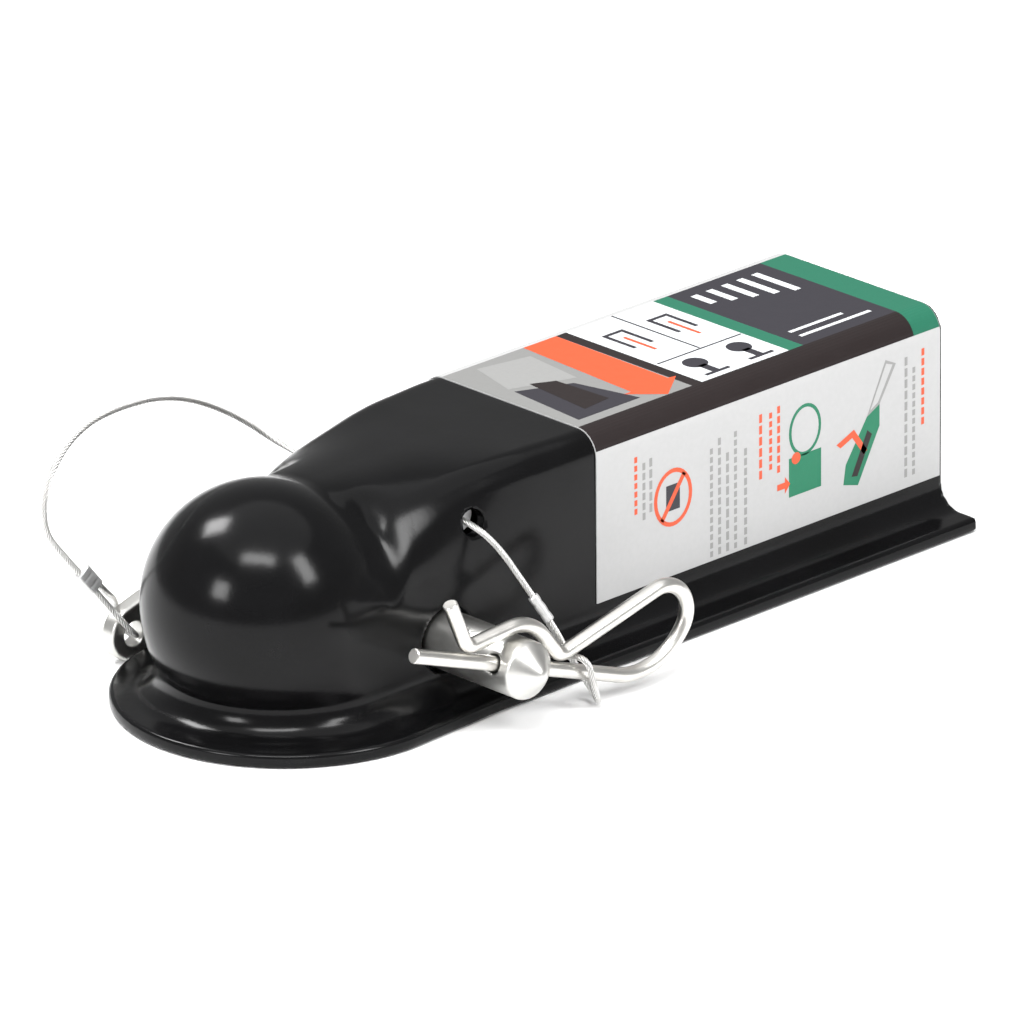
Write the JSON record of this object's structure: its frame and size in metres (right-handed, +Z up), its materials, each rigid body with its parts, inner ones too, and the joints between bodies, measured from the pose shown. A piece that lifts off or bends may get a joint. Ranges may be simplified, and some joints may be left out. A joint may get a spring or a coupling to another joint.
{
  "type": "trailer coupler lock",
  "caption": "Straight-tongue trailer coupler of pressed steel, locked over the tow ball by a bent pull-out pin with a spring clip, both tied on by short wire lanyards.",
  "frame": {"origin": "centre of the seated tow ball, which is the centre of the dome", "axes": "+X rearwards along the channel to the trailer tongue, +Z up, -Y the side the spring clip is on; the flange underside is the plane z = -0.0275"},
  "size_m": [0.2327, 0.1145, 0.0646],
  "materials": {
    "black_paint": "glossy black powder coat",
    "label_card": "coated printed card, satin",
    "pin_steel": "zinc-plated, satin",
    "clip_steel": "zinc-plated spring wire, bright",
    "rope_steel": "galvanised stranded wire",
    "crimp_alloy": "pressed, dull"
  },
  "bodies": {
    "coupler": {"coupler_body": "black_paint", "printed_label": "label_card", "pin_lanyard_rope": "rope_steel", "pin_lanyard_stop": "crimp_alloy", "clip_lanyard_rope": "rope_steel", "clip_lanyard_crimp": "crimp_alloy", "clip_lanyard_stop": "crimp_alloy"},
    "pin": {"locking_pin": "pin_steel", "pin_lanyard_crimp": "crimp_alloy"},
    "clip": {"hitch_clip": "clip_steel"}
  },
  "joints": [
    {"name": "pin_slide", "type": "slide", "parent": "coupler", "child": "pin", "axis": [0, 1, 0], "range_m": [0, 0.092], "deforming": ["pin_lanyard_rope"]},
    {"name": "clip_pull", "type": "slide", "parent": "coupler", "child": "clip", "axis": [0.9417, -0.0626, -0.3305], "range_m": [0, 0.0415], "deforming": ["hitch_clip", "clip_lanyard_rope"]}
  ]
}
